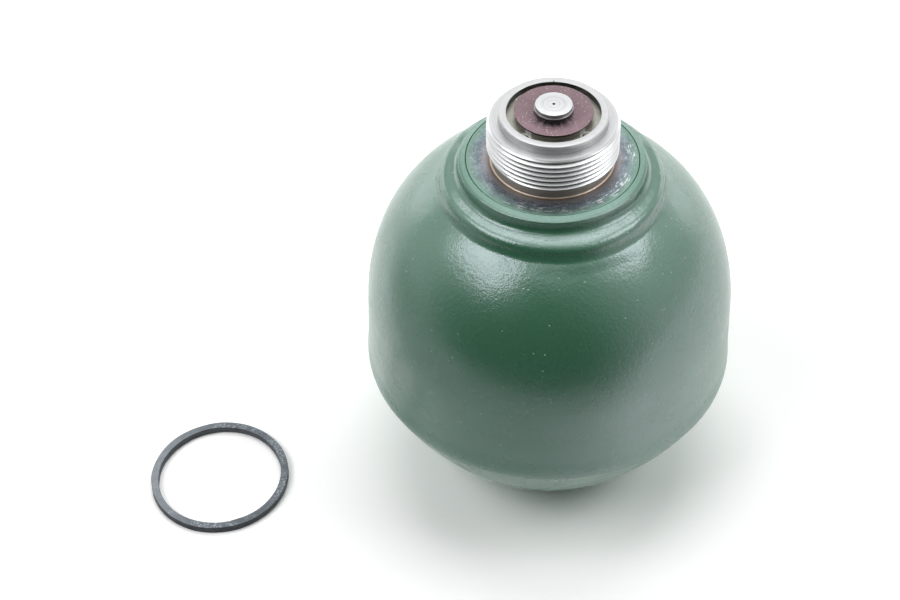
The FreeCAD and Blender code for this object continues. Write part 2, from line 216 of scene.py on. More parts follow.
class NodeTree:
    """Node tree of a material or of the world, with short calls for the nodes that both need."""

    def __init__(self, owner: bpy.types.ID) -> None:
        """Take over the owner's node tree."""
        owner.use_nodes = True
        self.tree = owner.node_tree

    def node(self, kind: str, inputs: dict | None = None, **settings: object) -> bpy.types.Node:
        """Node with its settings, and each input linked to a socket or set to a value."""
        node = self.tree.nodes.new(kind)
        for key, value in settings.items():
            setattr(node, key, value)
        for key, value in (inputs or {}).items():
            self.feed(node.inputs[key], value)
        return node

    def feed(self, socket: Socket, value: object) -> None:
        """Link an input to a socket, or set it to a number, a colour or a vector."""
        if isinstance(value, Socket):
            self.tree.links.new(value, socket)
        elif socket.type == "RGBA":
            socket.default_value = (*value, 1.0)
        else:
            socket.default_value = value

    def combine(self, operation: str, first: object, *others: object) -> Socket:
        """Math node of that operation, repeated for each further value."""
        result = first
        for other in others:
            result = self.node("ShaderNodeMath", {0: result, 1: other}, operation=operation).outputs[0]
        return result

    def sum(self, *values: object) -> Socket:
        """Values added."""
        return self.combine("ADD", *values)

    def product(self, *values: object) -> Socket:
        """Values multiplied."""
        return self.combine("MULTIPLY", *values)

    def above(self, value: Socket, level: float) -> Socket:
        """1 where the value is above the level and 0 elsewhere."""
        return self.combine("GREATER_THAN", value, level)

    def rise(self, value: Socket, low: float, high: float, start: float = 0.0, end: float = 1.0) -> Socket:
        """Smooth change from start at low to end at high."""
        inputs = {"Value": value, "From Min": low, "From Max": high, "To Min": start, "To Max": end}
        return self.node("ShaderNodeMapRange", inputs, interpolation_type="SMOOTHSTEP").outputs["Result"]

    def fall(self, value: Socket, low: float, high: float) -> Socket:
        """Smooth change from 1 at low to 0 at high."""
        return self.rise(value, low, high, 1.0, 0.0)


class Recipe(NodeTree):
    """Node tree of one material, with short calls for what the finishes share."""

    def __init__(self, name: str, colour: Colour | None = None) -> None:
        """Start a material of that colour, with one Principled shader and the piece's own coordinates."""
        self.material = bpy.data.materials.new(name)
        super().__init__(self.material)
        self.tree.nodes.clear()
        self.shader = self.node("ShaderNodeBsdfPrincipled")
        self.node("ShaderNodeOutputMaterial", {"Surface": self.shader.outputs["BSDF"]})
        self.place = self.node("ShaderNodeTexCoord").outputs["Object"]
        self.x, self.y, self.z = self.node("ShaderNodeSeparateXYZ", {"Vector": self.place}).outputs
        self.base: object = colour

    def lay(self, colour: object, *shares: object) -> None:
        """Lay a colour over the base by the product of the shares, each from 0 to 1."""
        self.base = self.mix(self.product(*shares), self.base, colour)

    def done(self, *relief: tuple[Socket, float], **values: object) -> bpy.types.Material:
        """Finish the material.

        Args:
            relief: Layers of relief, each a height from 0 to 1 and its depth in millimetres.
            values: Inputs of the shader, named in lower case with underscores.

        Returns:
            The material.
        """
        normal: dict[str, Socket] = {}
        for height, depth in relief:
            inputs = {"Height": height, "Strength": 1.0, "Distance": depth * MM, **normal}
            normal = {"Normal": self.node("ShaderNodeBump", inputs).outputs["Normal"]}
        for key, value in {"base_color": self.base, **values, **normal}.items():
            self.feed(self.shader.inputs[key.replace("_", " ").title().replace("Ior", "IOR")], value)
        return self.material

    def radius(self, x: float = 0.0, y: float = 0.0) -> Socket:
        """Distance in millimetres from an upright axis at (x, y), in millimetres."""
        flat = self.node("ShaderNodeVectorMath", {0: self.place, 1: (1, 1, 0)}, operation="MULTIPLY")
        inputs = {0: flat.outputs[0], 1: (x * MM, y * MM, 0)}
        off = self.node("ShaderNodeVectorMath", inputs, operation="DISTANCE")
        return self.product(off.outputs["Value"], 1 / MM)

    def height(self) -> Socket:
        """Height in millimetres."""
        return self.product(self.z, 1 / MM)

    def bearing(self) -> Socket:
        """Angle round the axis in radians, 0 at +X and towards +Y."""
        return self.combine("ARCTAN2", self.y, self.x)

    def vector(self, x: object, y: object, z: object) -> Socket:
        """Vector of three values."""
        return self.node("ShaderNodeCombineXYZ", {"X": x, "Y": y, "Z": z}).outputs[0]

    def round_axis(self, turn: float, out: float, up: float) -> Socket:
        """Angle, radius and height as a vector, each scaled, for marks that run round the axis."""
        return self.vector(self.product(self.bearing(), turn), self.product(self.radius(), out),
                           self.product(self.height(), up))

    def noise(self, wavelength: float, detail: float = 2.0, roughness: float = 0.5,
              at: Socket | None = None) -> Socket:
        """Noise from 0 to 1.

        Args:
            wavelength: Size of its blotches in millimetres, or in the units of at.
            detail: Number of finer layers.
            roughness: Strength of the finer layers.
            at: Vector to read instead of the piece's coordinates.

        Returns:
            The noise's value socket.
        """
        scale = 1 / wavelength if at else 1 / (wavelength * MM)
        inputs = {"Vector": at or self.place, "Scale": scale, "Detail": detail, "Roughness": roughness}
        return self.node("ShaderNodeTexNoise", inputs).outputs["Fac"]

    def patches(self, wavelength: float, low: float, high: float, start: float = 0.0, end: float = 1.0,
                **layers: object) -> Socket:
        """Noise that changes smoothly from start where it is low to end where it is high."""
        return self.rise(self.noise(wavelength, **layers), low, high, start, end)

    def dots(self, spacing: float, full: float, gone: float, rarity: float = 0.0) -> Socket:
        """Round dots scattered through the piece.

        Args:
            spacing: Distance between them in millimetres.
            full: Radius within which a dot is 1, as a share of the spacing.
            gone: Radius from which it is 0, as a share of the spacing.
            rarity: Share from 0 to 1 that grows as more of the dots are left out.

        Returns:
            The dots' value socket.
        """
        cells = self.node("ShaderNodeTexVoronoi", {"Vector": self.place, "Scale": 1 / (spacing * MM)}).outputs
        dot = self.fall(cells["Distance"], full, gone)
        return self.product(dot, self.above(cells["Color"], rarity)) if rarity else dot

    def band(self, value: Socket, low: float, high: float, soft: float) -> Socket:
        """1 between low and high and 0 outside, with soft edges."""
        return self.product(self.rise(value, low - soft, low + soft),
                            self.fall(value, high - soft, high + soft))

    def colours(self, value: Socket, stops: Sequence[Stop]) -> Socket:
        """Colours along a value, from stops of (value, colour) of any range."""
        low, high = stops[0][0], stops[-1][0]
        share = self.node("ShaderNodeMapRange", {"Value": value, "From Min": low, "From Max": high})
        ramp = self.node("ShaderNodeValToRGB", {"Fac": share.outputs["Result"]})
        elements = ramp.color_ramp.elements
        for index, (at, colour) in enumerate(stops):
            position = (at - low) / (high - low)
            element = elements[index] if index < 2 else elements.new(position)
            element.position = position
            element.color = (*colour, 1.0)
        return ramp.outputs["Color"]

    def mix(self, share: object, first: object, second: object, blend: str = "MIX") -> Socket:
        """Two colours mixed by a share from 0 to 1."""
        inputs = {0: share, 6: first, 7: second}
        return self.node("ShaderNodeMix", inputs, data_type="RGBA", blend_type=blend).outputs[2]


@dataclass(frozen=True)
class GreenPaint:
    """Glossy stoved paint with orange peel, dust nibs and a rubbed, paler rim on the collar."""

    name: str = "green_paint"
    colour: Colour = (0.044, 0.170, 0.089)
    deep_colour: Colour = (0.037, 0.150, 0.078)
    rim_colour: Colour = (0.092, 0.262, 0.170)
    nib_colour: Colour = (0.30, 0.42, 0.34)
    roughness: float = 0.27
    peel_depth: float = 0.060
    grit_depth: float = 0.032
    nib_depth: float = 0.060
    rim_height: float = 0.0
    run_height: float = 35.0

    def build(self) -> bpy.types.Material:
        """Material of the painted shells."""
        recipe = Recipe(self.name, self.colour)
        clouds = recipe.noise(14.0, detail=3.0)
        recipe.lay(self.deep_colour, clouds)
        recipe.lay(self.rim_colour, recipe.patches(0.8, 0.55, 0.80, 0.0, 0.16, detail=3.0))
        nibs = recipe.dots(spacing=2.0, full=0.07, gone=0.13, rarity=0.64)
        recipe.lay(self.nib_colour, nibs)
        top = recipe.rise(recipe.height(), self.rim_height - 0.62, self.rim_height - 0.35)
        recipe.lay(self.rim_colour, top, recipe.patches(0.9, 0.30, 0.62, 0.55, 1.0, detail=4.0))
        gloss = recipe.rise(clouds, 0.3, 0.7, self.roughness - 0.03, self.roughness + 0.03)
        gloss = recipe.sum(gloss, recipe.product(top, 0.16))
        even = recipe.rise(recipe.height(), self.run_height - 3, self.run_height + 3, 0.15, 1.0)
        peel = recipe.product(recipe.noise(1.1, roughness=0.6), even)
        grit = recipe.product(recipe.noise(0.50, detail=1.0), even)
        return recipe.done((peel, self.peel_depth), (grit, self.grit_depth), (nibs, self.nib_depth),
                           roughness=gloss, ior=1.70, specular_ior_level=1.0, specular_tint=(0.87, 0.91, 1.0))


@dataclass(frozen=True)
class TurnedSteel:
    """Bright steel with the rings that a lathe tool leaves, sparse pits, and, on a threaded neck, painted
    shade in the grooves and a painted sheen that brightens the sides below the end face.
    """

    name: str = "turned_steel"
    colour: Colour = (0.54, 0.545, 0.55)
    dull_colour: Colour = (0.43, 0.435, 0.44)
    pits_and_groove_shade_colour: Colour = (0.085, 0.080, 0.074)
    roughness: float = 0.33
    ring_pitch: float = 0.50
    ring_depth: float = 0.004
    groove_radius: float = 0.0
    groove_heights: Place = (0.0, 0.0)
    face_height: float = 0.0
    painted_side_sheen: float = 1.28
    metallic: float = 0.90
    face_metallic: float = 0.68

    def build(self) -> bpy.types.Material:
        """Material of the neck's bright faces, of the rivet and of the spacers."""
        recipe = Recipe(self.name, self.colour)
        across = recipe.vector(recipe.radius(), recipe.height(), 0.0)
        rings = recipe.noise(self.ring_pitch, detail=3.0, roughness=0.65, at=across)
        smudges = recipe.noise(3.2, detail=4.0)
        recipe.lay(self.dull_colour, recipe.rise(smudges, 0.45, 0.75, 0.0, 0.6))
        recipe.lay(self.dull_colour, recipe.rise(rings, 0.44, 0.62, 0.0, 0.9))
        recipe.lay(self.pits_and_groove_shade_colour, recipe.dots(spacing=4.2, full=0.045, gone=0.065, rarity=0.80))
        metal = self.metallic
        if self.groove_radius:
            # Painted shade: the thread's grooves are laid near-black.
            groove_shade = recipe.fall(recipe.radius(), self.groove_radius, self.groove_radius + 0.3)
            recipe.lay(self.pits_and_groove_shade_colour, groove_shade, recipe.band(recipe.height(), *self.groove_heights, 0.15), 0.75)
            face = recipe.rise(recipe.height(), self.face_height - 0.30, self.face_height - 0.05)
            # Painted sheen: below the end face the colour is made brighter than on the face.
            brightened_side = recipe.mix(1.0, recipe.base, (self.painted_side_sheen,) * 3, blend="MULTIPLY")
            recipe.base = recipe.mix(face, brightened_side, recipe.base)
            metal = recipe.rise(face, 0.0, 1.0, self.metallic, self.face_metallic)
        scratches = recipe.patches(0.22, 0.68, 0.74, detail=2.0, at=recipe.round_axis(2.2, 1.0, 1.0))
        gloss = recipe.rise(smudges, 0.35, 0.7, self.roughness, self.roughness + 0.06)
        gloss = recipe.sum(gloss, recipe.product(scratches, 0.10))
        return recipe.done((rings, self.ring_depth), metallic=metal, roughness=gloss)


@dataclass(frozen=True)
class HeatTintedSteel:
    """Seal face and undercut, coloured by the heat of the weld from straw through purple to green.

    Each stop is a radius in millimetres and its colour. The last two paint shade in the gap to the collar.
    """

    name: str = "heat_tinted_steel"
    stops: tuple[Stop, ...] = (
        (16.15, (0.470, 0.450, 0.410)),
        (16.40, (0.420, 0.380, 0.320)),
        (16.52, (0.500, 0.340, 0.240)),
        (16.64, (0.440, 0.290, 0.200)),
        (16.74, (0.130, 0.110, 0.095)),
        (17.00, (0.190, 0.175, 0.170)),
        (17.50, (0.235, 0.222, 0.232)),
        (18.10, (0.260, 0.245, 0.260)),
        (18.90, (0.205, 0.210, 0.245)),
        (19.70, (0.165, 0.205, 0.240)),
        (20.60, (0.175, 0.230, 0.235)),
        (21.60, (0.160, 0.240, 0.215)),
        (22.88, (0.140, 0.245, 0.195)),
        # Painted shade: near-black in the gap to the collar.
        (22.98, (0.012, 0.013, 0.012)),
        (23.20, (0.012, 0.013, 0.012)),
    )
    scale_colour: Colour = (0.070, 0.088, 0.100)
    fleck_colour: Colour = (0.36, 0.45, 0.43)
    scuff_colour: Colour = (0.72, 0.72, 0.75)
    rubbed_bearing: float = -50.0

    def _rubbed(self, recipe: Recipe) -> Socket:
        """Share of rubbing, most on one side of the flange and little on the other."""
        turned = recipe.sum(recipe.bearing(), -math.radians(self.rubbed_bearing))
        facing = recipe.node("ShaderNodeMath", {0: turned}, operation="COSINE").outputs[0]
        return recipe.rise(facing, -0.3, 0.55, 0.12, 1.0)

    def build(self) -> bpy.types.Material:
        """Material of the flange round the neck."""
        recipe = Recipe(self.name)
        wobble = recipe.product(recipe.sum(recipe.noise(5.0, detail=3.0), -0.5), 1.3)
        outwards = recipe.rise(recipe.radius(), 17.6, 18.6)
        inwards = recipe.fall(recipe.radius(), 21.6, 22.8)
        distance = recipe.sum(recipe.radius(), recipe.product(wobble, outwards, inwards))
        recipe.base = recipe.colours(distance, self.stops)
        scale = recipe.patches(3.2, 0.42, 0.62, detail=5.0, roughness=0.6)
        recipe.lay(self.scale_colour, scale, outwards, inwards, 0.5)
        recipe.lay(self.fleck_colour, recipe.patches(0.6, 0.52, 0.68, detail=3.0), outwards, inwards, 0.35)
        around = recipe.round_axis(9.0, 2.0, 0.0)
        streaks = recipe.patches(1.0, 0.53, 0.60, detail=5.0, roughness=0.7, at=around)
        recipe.lay(self.scuff_colour, streaks, recipe.rise(recipe.radius(), 18.4, 20.2), inwards,
                   self._rubbed(recipe), recipe.patches(9.0, 0.40, 0.55), 0.85)
        rings = recipe.noise(0.2, detail=3.0, at=recipe.vector(recipe.radius(), 0.0, 0.0))
        return recipe.done((rings, 0.004), (recipe.noise(0.5, detail=3.0), 0.006), metallic=0.85,
                           roughness=recipe.patches(1.4, 0.35, 0.65, 0.34, 0.48, detail=3.0))


@dataclass(frozen=True)
class TemperedDisc:
    """Top valve disc, tempered to a purple brown, with pale specks, bright chips, and painted shade and dark
    reflection of the spacer round its centre on the -Y side.
    """

    name: str = "tempered_steel"
    colour: Colour = (0.120, 0.072, 0.086)
    pale_colour: Colour = (0.205, 0.146, 0.162)
    chip_colour: Colour = (0.60, 0.56, 0.57)
    painted_spacer_shade_colour: Colour = (0.020, 0.017, 0.018)
    painted_spacer_shade_radii: Place = (5.6, 8.8)

    def build(self) -> bpy.types.Material:
        """Material of the top disc."""
        recipe = Recipe(self.name, self.colour)
        recipe.lay(self.pale_colour, recipe.noise(2.4, detail=4.0))
        recipe.lay(self.pale_colour, recipe.patches(0.45, 0.45, 0.62, detail=3.0, roughness=0.7), 0.7)
        chips = recipe.product(
            recipe.dots(spacing=1.1, full=0.05, gone=0.10), recipe.patches(4.0, 0.48, 0.60))
        recipe.lay(self.chip_colour, chips, 0.8)
        recipe.lay(self.chip_colour, recipe.dots(spacing=0.75, full=0.12, gone=0.20, rarity=0.45), 0.75)
        # Painted shade and reflection: dark round the spacer, strongest on the -Y side.
        facing = recipe.combine("DIVIDE", recipe.y, recipe.product(recipe.radius(), MM))
        uneven = recipe.patches(0.25, 0.30, 0.60, 0.35, 1.0, at=recipe.round_axis(1.6, 0.05, 0.0))
        recipe.lay(self.painted_spacer_shade_colour, recipe.fall(recipe.radius(), *self.painted_spacer_shade_radii),
                   recipe.rise(facing, -1.0, -0.2, 1.0, 0.25), uneven)
        return recipe.done((recipe.noise(0.22, detail=3.0), 0.010), (chips, -0.006), metallic=0.9,
                           roughness=recipe.patches(1.8, 0.3, 0.7, 0.34, 0.46, detail=3.0))


@dataclass(frozen=True)
class MottledFinish:
    """Finish of two colours with grain, which the plainer pieces share with their own values."""

    name: str
    colour: Colour
    second_colour: Colour
    metallic: float
    roughness: float
    blotch: float = 2.5
    grain: float = 0.3
    relief: float = 0.008

    def mark(self, recipe: Recipe) -> object:
        """Lay on the marks that only this piece has, here none, and give its metallic share."""
        return self.metallic

    def build(self) -> bpy.types.Material:
        """Material of this finish."""
        recipe = Recipe(self.name, self.colour)
        blotches = recipe.noise(self.blotch, detail=4.0, roughness=0.6)
        grain = recipe.noise(self.grain, detail=3.0)
        recipe.lay(self.second_colour, recipe.rise(blotches, 0.38, 0.66))
        recipe.lay(self.second_colour, recipe.rise(grain, 0.55, 0.75, 0.0, 0.4))
        gloss = recipe.rise(blotches, 0.35, 0.65, self.roughness - 0.05, self.roughness + 0.08)
        sheen = self.mark(recipe)
        return recipe.done((grain, self.relief), (blotches, self.relief), metallic=sheen, roughness=gloss)


@dataclass(frozen=True)
class PortedSteel(MottledFinish):
    """Valve body's finish, with painted highlights, pale and matt, in the drilled mouths and painted shade
    under the top disc's edge.
    """

    mouth_ring: float = 11.1
    mouth_bearings: tuple[float, ...] = (50, 140, 230, 320)
    mouth_radii: Place = (1.4, 1.9)
    mouth_highlight_colour: Colour = (0.80, 0.80, 0.76)
    disc_shade_radii: Place = (9.55, 10.05)
    disc_shade_share: float = 0.90
    disc_shade_colour: Colour = (0.012, 0.012, 0.011)

    def mark(self, recipe: Recipe) -> object:
        """Lay on the painted highlights in the mouths and the painted shade under the top disc's edge, and
        give the metallic share.
        """
        sheen = self.metallic
        for bearing in self.mouth_bearings:
            # Painted highlight: a pale, matt patch at each drilled mouth.
            mouth_highlight = recipe.fall(recipe.radius(*on_arc((0, 0), self.mouth_ring, bearing)), *self.mouth_radii)
            recipe.lay(self.mouth_highlight_colour, mouth_highlight)
            sheen = recipe.sum(sheen, recipe.product(mouth_highlight, -self.metallic))
        # Painted shade: a dark ring under the top disc's edge.
        recipe.lay(self.disc_shade_colour, recipe.fall(recipe.radius(), *self.disc_shade_radii), self.disc_shade_share)
        return sheen


@dataclass(frozen=True)
class ChalkyRubber:
    """Slate grey rubber with pale chalky patches where talc has stayed, most of it on one side."""

    name: str = "seal_rubber"
    colour: Colour = (0.075, 0.092, 0.110)
    worn_colour: Colour = (0.125, 0.150, 0.174)
    chalk_colour: Colour = (0.46, 0.50, 0.54)
    chalk_share: float = 0.75
    dust_share: float = 0.42
    middle: float = 0.0

    def build(self) -> bpy.types.Material:
        """Material of the seal ring."""
        recipe = Recipe(self.name, self.colour)
        recipe.lay(self.worn_colour, recipe.patches(2.6, 0.38, 0.66, detail=4.0))
        aside = recipe.product(recipe.x, 1 / MM)
        dust = recipe.rise(aside, self.middle - 29, self.middle + 6, self.dust_share, 0.0)
        recipe.lay(self.chalk_colour, dust)
        chalk = recipe.product(recipe.patches(7.0, 0.40, 0.58),
                               recipe.patches(0.7, 0.46, 0.64, detail=4.0, roughness=0.7))
        recipe.lay(self.chalk_colour, chalk, self.chalk_share)
        return recipe.done((recipe.noise(0.3, detail=3.0), 0.012), (recipe.noise(1.6, detail=3.0), 0.03),
                           roughness=recipe.rise(chalk, 0.0, 1.0, 0.48, 0.80), ior=1.5)


RIVET_STEEL = TurnedSteel("rivet_steel", (0.54, 0.55, 0.555), (0.42, 0.43, 0.435), ring_pitch=0.45)
SPACER_STEEL = TurnedSteel("spacer_steel", (0.30, 0.30, 0.30), (0.20, 0.20, 0.20), ring_pitch=0.30)
SPRING_STEEL = MottledFinish("dark_spring_steel", (0.035, 0.033, 0.034), (0.070, 0.064, 0.062), 0.8, 0.33)
VALVE_BODY = PortedSteel("valve_body_steel", (0.29, 0.283, 0.245), (0.345, 0.337, 0.297), 0.75, 0.40, 2.8,
                         0.25)
# Painted shade: near-black steel laid inside the neck's bore, in the spacers' grooves and in the rivet's
# bleed hole.
SHADED_BORE = MottledFinish("shaded_bore_steel", (0.05, 0.05, 0.045), (0.10, 0.10, 0.09), 0.7, 0.36, 2.0, 0.3)
MEMBRANE = MottledFinish("membrane_rubber", (0.020, 0.020, 0.021), (0.036, 0.036, 0.037), 0.0, 0.55, 4.0, 0.5)
ZINC = MottledFinish("zinc_steel", (0.52, 0.53, 0.55), (0.62, 0.61, 0.56), 0.95, 0.32, 3.0, 0.4)
COPPER = MottledFinish("copper", (0.70, 0.36, 0.22), (0.52, 0.27, 0.17), 0.95, 0.33, 1.6, 0.3)


class Workshop:
    """Turns finished meshes into pieces that ride on the part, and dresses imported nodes."""

    def __init__(self) -> None:
        """Start with no finish built."""
        self.finishes: dict[str, bpy.types.Material] = {}

    def finish(self, finish: object) -> bpy.types.Material:
        """Material of a finish, built once."""
        if finish.name not in self.finishes:
            self.finishes[finish.name] = finish.build()
        return self.finishes[finish.name]

    def piece(self, name: str, mesh: bmesh.types.BMesh, finishes: Iterable[object],
              replaces: Sequence[str]) -> bpy.types.Object:
        """Make a piece of a closed mesh.

        Args:
            name: The piece's name.
            mesh: Its mesh, which is used up.
            finishes: Its finishes, in the order of the mesh's material indices.
            replaces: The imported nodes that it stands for.

        Returns:
            The new object.
        """
        for face in mesh.faces:
            face.smooth = True
        for edge in mesh.edges:
            edge.smooth = edge.calc_face_angle(0.0) < SHARP_ANGLE
        open_edges = sum(1 for edge in mesh.edges if len(edge.link_faces) != 2)
        made = solid(name, mesh)
        for finish in finishes:
            made.data.materials.append(self.finish(finish))
        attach(made, BODY)
        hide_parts(*replaces)
        log.info("%s: %d faces, %d open edges", name, len(made.data.polygons), open_edges)
        return made

    def dress(self, node: str, finish: object) -> None:
        """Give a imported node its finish."""
        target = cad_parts[node]
        for slot in target.material_slots:
            slot.material = self.finish(finish)
        log.info("%s: dressed in %s", node, finish.name)


@dataclass
class PressureVessel:
    """The two painted shells, with the forged collar that carries the neck."""

    wall: float = 3.8
    skirt_rounding: float = 1.0
    flare_height: float = 2.1
    flare_run: float = 3.8
    flare_depth: float = 0.4
    flare_rounding: float = 16.0
    wall_draft: float = 2.3
    wall_height: float = 16.36
    upper_side_radius: float = 57.8
    upper_blend_angle: float = 19.0
    crown_radius: float = 44.7
    lower_step: float = 0.2
    lower_side_radius: float = 96.4
    lower_entry_angle: float = 24.3
    foot_edge: float = 11.4
    lap_height: float = 13.3
    skirt_wall: float = 2.1
    lap_gap: float = 0.05
    socket_radius: float = 23.15
    hole_radius: float = 19.05
    socket_depth: float = 5.6
    lip_width: float = 1.95
    lip_drop: float = 0.8
    lip_rounding: float = 0.35
    upper_wall_taper: float = 0.3
    ledge_drop: float = 4.2
    ledge_width: float = 4.4
    ledge_slope: float = 0.8
    ledge_inner_rounding: float = 1.8
    ledge_edge_rounding: float = 2.3
    lower_wall_taper: float = 0.6
    crease_rounding: float = 4.0
    recess_radius: float = 7.5
    recess_depth: float = 5.4
    plug_hole_radius: float = 4.05
    boss_wall: float = 1.5
    boss_height: float = 12.0
    clamp_ledge_width: float = 1.6
    clamp_ledge_rise: float = 2.0
    ledge_root_turn: float = 4.0
    segments: int = 240
    longest: float = 0.9
    forging_swell: float = 0.16
    forging_ripple: float = 0.05
    # Wavelength and seed of the swell and of the ripple, outwards and then upwards
    forging_waves: tuple[tuple[Place, Place], ...] = (((11.0, 3.1), (3.2, 8.4)), ((9.0, 5.7), (2.6, 2.2)))
    forging_depth: float = 14.0
    forged_below_face: Place = (0.4, 2.5)
    forged_outside_socket: Place = (0.6, 1.6)
    forged_up_to_dome: Place = (1.5, 9.0)
    lobe_bearing: float = -67.0
    lobe_spread: float = 22.0
    lobe_lift: float = 0.6
    lobe_reach: float = 3.6
    lobe_top: float = 5.0
    lobe_offset: float = 0.4
    lobe_least: float = 0.01
    paint: GreenPaint = field(init=False)

    def __post_init__(self) -> None:
        """Read the shells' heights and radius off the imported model."""
        self.skirt_edge, self.flange_face, self.radius = reach("upper_shell")
        self.lap_top = self.skirt_edge + self.lap_height
        foot_radius = self.radius - self.flare_depth
        self.inner_radius = foot_radius - self.wall
        self.flare_top = (self.radius, self.skirt_edge + self.flare_height)
        self.wall_foot = (foot_radius, self.flare_top[1] + self.flare_run)
        lean = self.wall_height * math.tan(math.radians(self.wall_draft))
        wall_top = (foot_radius - lean, self.wall_foot[1] + self.wall_height)
        self.side_centre = on_arc(wall_top, -self.upper_side_radius, self.wall_draft)
        crown_start = on_arc(self.side_centre, self.upper_side_radius, self.upper_blend_angle)
        self.crown_centre = on_arc(crown_start, -self.crown_radius, self.upper_blend_angle)
        self.paint = GreenPaint(rim_height=self.flange_face, run_height=self.skirt_edge)

    def _forge(self, mesh: bmesh.types.BMesh) -> None:
        """Give the collar the slight irregularity of a forging, and leave the seats and the dome true."""
        ledge_edge = self.socket_radius + self.lip_width + self.upper_wall_taper + self.ledge_width
        root = ledge_edge + self.lower_wall_taper + self.lobe_offset
        for vert in mesh.verts:
            radius = math.hypot(vert.co.x, vert.co.y) / MM
            below = self.flange_face - vert.co.z / MM
            aside = (math.degrees(math.atan2(vert.co.y, vert.co.x)) - self.lobe_bearing) / self.lobe_spread
            near = 1 - ramp_between(abs(radius - root), 0.0, self.lobe_reach)
            lobe = math.exp(-aside ** 2) * near * self.lobe_lift
            if self.lobe_top < below < self.forging_depth and lobe > self.lobe_least:
                vert.co += from_axis(vert.co).normalized() * (lobe * MM)
            share = ramp_between(below, *self.forged_below_face)
            share *= 1 - ramp_between(radius - ledge_edge, *self.forged_up_to_dome)
            share *= ramp_between(radius - self.socket_radius, *self.forged_outside_socket)
            if share <= 0 or below > self.forging_depth:
                continue
            outwards = from_axis(vert.co).normalized()
            swell, lift = (
                waves(vert.co, *coarse) * self.forging_swell + waves(vert.co, *fine) * self.forging_ripple
                for coarse, fine in self.forging_waves)
            vert.co += (outwards * swell + Vector((0, 0, lift))) * (share * MM)

    def upper_shell(self, shop: Workshop) -> bpy.types.Object:
        """Dome with the stepped collar above and the skirt of the lap joint below."""
        face = self.flange_face
        lip_edge = self.socket_radius + self.lip_width
        ledge_root = (lip_edge + self.upper_wall_taper, face - self.ledge_drop)
        ledge_edge = (ledge_root[0] + self.ledge_width, ledge_root[1] - self.ledge_slope)
        crease_radius = ledge_edge[0] + self.lower_wall_taper
        crease_angle = math.degrees(math.acos((crease_radius - self.crown_centre[0]) / self.crown_radius))
        inner_crown = self.crown_radius - self.wall
        hole_angle = math.degrees(math.acos((self.hole_radius - self.crown_centre[0]) / inner_crown))
        lap_radius = self.radius - self.skirt_wall
        inner_wall_top = on_arc(self.side_centre, self.upper_side_radius - self.wall, self.wall_draft)

        outline = Outline((self.socket_radius, face))
        outline.corner((lip_edge, face - self.lip_drop), self.lip_rounding)
        outline.corner(ledge_root, self.ledge_inner_rounding).corner(ledge_edge, self.ledge_edge_rounding)
        outline.corner(on_arc(self.crown_centre, self.crown_radius, crease_angle), self.crease_rounding)
        outline.arc(self.crown_centre, self.upper_blend_angle - crease_angle, steps=26)
        outline.arc(self.side_centre, self.wall_draft - self.upper_blend_angle, steps=14)
        outline.corner(self.wall_foot, self.flare_rounding).corner(self.flare_top, self.flare_rounding)
        outline.corner((self.radius, self.skirt_edge), self.skirt_rounding)
        outline.line((lap_radius, self.skirt_edge), (lap_radius, self.lap_top))
        outline.line((self.inner_radius, self.lap_top))
        outline.line(inner_wall_top)
        outline.arc(self.side_centre, self.upper_blend_angle - self.wall_draft, steps=8)
        outline.arc(self.crown_centre, hole_angle - self.upper_blend_angle, steps=12)
        seat = face - self.socket_depth
        outline.line((self.hole_radius, seat), (self.socket_radius, seat))
        mesh = outline.turned(self.segments, self.longest)
        self._forge(mesh)
        return shop.piece("upper_shell_painted", mesh, [self.paint], ["upper_shell"])

    def lower_shell(self, shop: Workshop) -> bpy.types.Object:
        """Bowl with the lap joint's rim, the paint that fills the seam, the foot and the filler recess."""
        entry = (self.radius - self.lower_step, self.skirt_edge)
        side_centre = on_arc(entry, -self.lower_side_radius, -self.lower_entry_angle)
        aside = self.foot_edge - side_centre[0]
        spare = self.lower_side_radius - side_centre[1]
        bottom_radius = (self.lower_side_radius ** 2 - aside ** 2 - side_centre[1] ** 2) / (2 * spare)
        bottom_centre = (self.foot_edge, bottom_radius)
        blend_angle = math.degrees(math.atan2(side_centre[1] - bottom_radius, aside))
        rim_radius = self.radius - self.skirt_wall - self.lap_gap
        clamp_ledge = self.skirt_edge + self.clamp_ledge_rise
        root_angle = self.lower_entry_angle + self.ledge_root_turn
        boss_radius = self.recess_radius + self.boss_wall

        seam_root = (self.radius - self.skirt_rounding, self.skirt_edge)
        seam_turn = math.degrees(math.asin(1 - self.lower_step / self.skirt_rounding))

        outline = Outline((rim_radius, self.lap_top))
        outline.line((rim_radius, self.skirt_edge), seam_root)
        seam_centre = (seam_root[0], self.skirt_edge + self.skirt_rounding)
        outline.arc(seam_centre, seam_turn, steps=5).line(entry)
        outline.arc(side_centre, self.lower_entry_angle - blend_angle, steps=22)
        outline.arc(bottom_centre, blend_angle - 90, steps=22)
        outline.line((self.recess_radius, 0), (self.recess_radius, self.recess_depth))
        outline.line((self.plug_hole_radius, self.recess_depth), (self.plug_hole_radius, self.boss_height))
        outline.line((boss_radius, self.boss_height), (boss_radius, self.wall), (self.foot_edge, self.wall))
        outline.arc(bottom_centre, 90 - blend_angle, steps=10)
        outline.arc(side_centre, blend_angle - root_angle, steps=8)
        outline.line((self.inner_radius - self.clamp_ledge_width, clamp_ledge))
        outline.line((self.inner_radius, clamp_ledge), (self.inner_radius, self.lap_top))
        mesh = outline.turned(self.segments)
        return shop.piece("lower_shell_painted", mesh, [self.paint], ["lower_shell"])

    def build(self, shop: Workshop) -> None:
        """Make both shells."""
        self.upper_shell(shop)
        self.lower_shell(shop)


